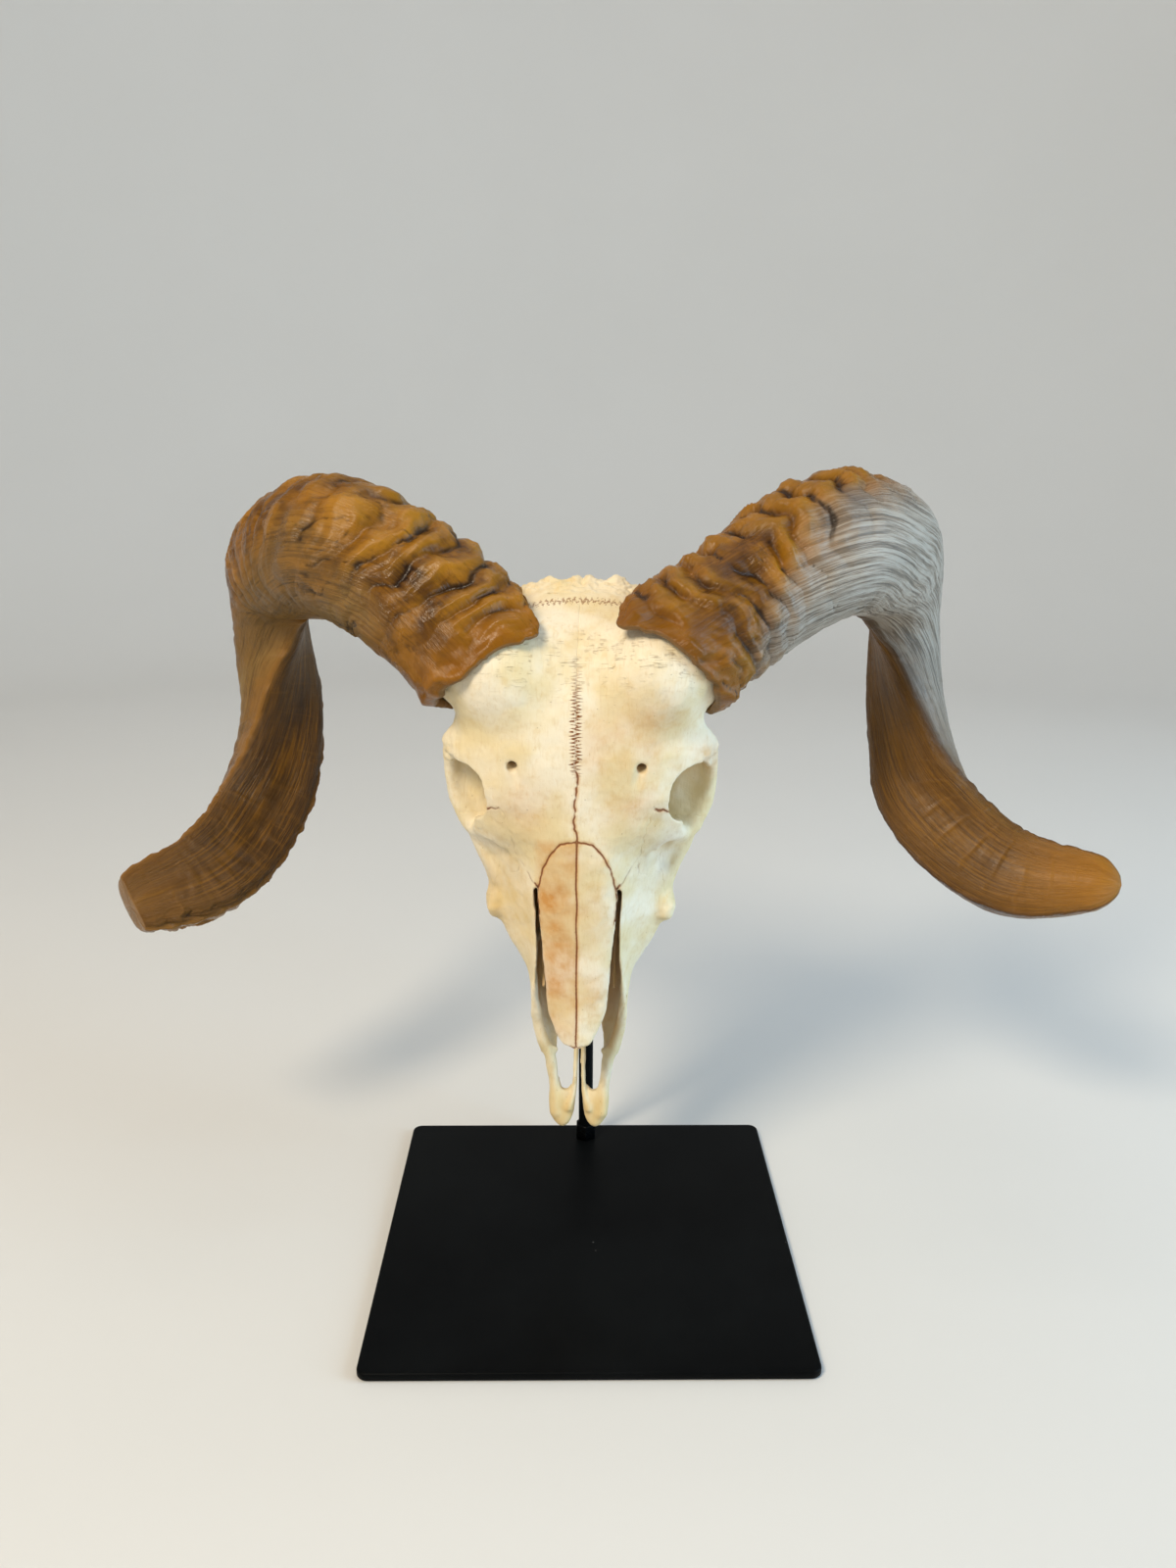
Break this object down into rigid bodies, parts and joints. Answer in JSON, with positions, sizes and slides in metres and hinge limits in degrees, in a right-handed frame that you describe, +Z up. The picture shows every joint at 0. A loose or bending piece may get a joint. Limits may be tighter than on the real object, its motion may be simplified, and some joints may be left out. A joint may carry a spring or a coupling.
{
  "type": "ram skull",
  "caption": "Skull of a domestic ram with both curled, ridged horns and no lower jaw, nose down on a steel rod that rises from a flat square base.",
  "frame": {"origin": "middle of the underside of the square base", "axes": "+Z up; -Y is the front, which the face looks to; +X is the skull's right-hand side as seen from the front"},
  "size_m": [0.5075, 0.2414, 0.3782],
  "materials": {
    "bone": "dry bleached bone, ivory with warm stains",
    "nasal_bone": "dry bone stained light orange",
    "horn": "ridged horn, satin, amber to brown",
    "black_steel": "satin black coat on steel"
  },
  "bodies": {
    "root": {"nasal_left": "nasal_bone", "nasal_right": "nasal_bone", "premaxilla_left": "bone", "premaxilla_right": "bone", "frontal_left": "bone", "frontal_right": "bone", "lacrimal_left": "bone", "lacrimal_right": "bone", "zygomatic_left": "bone", "zygomatic_right": "bone", "maxilla_left": "bone", "maxilla_right": "bone", "parietal": "bone", "occipital": "bone", "braincase": "bone", "horn_left_base": "horn", "horn_left_bend": "horn", "horn_left_tip": "horn", "horn_right_base": "horn", "horn_right_bend": "horn", "horn_right_tip": "horn", "stand_base": "black_steel", "stand_rod": "black_steel", "stand_nut": "black_steel"}
  },
  "joints": []
}
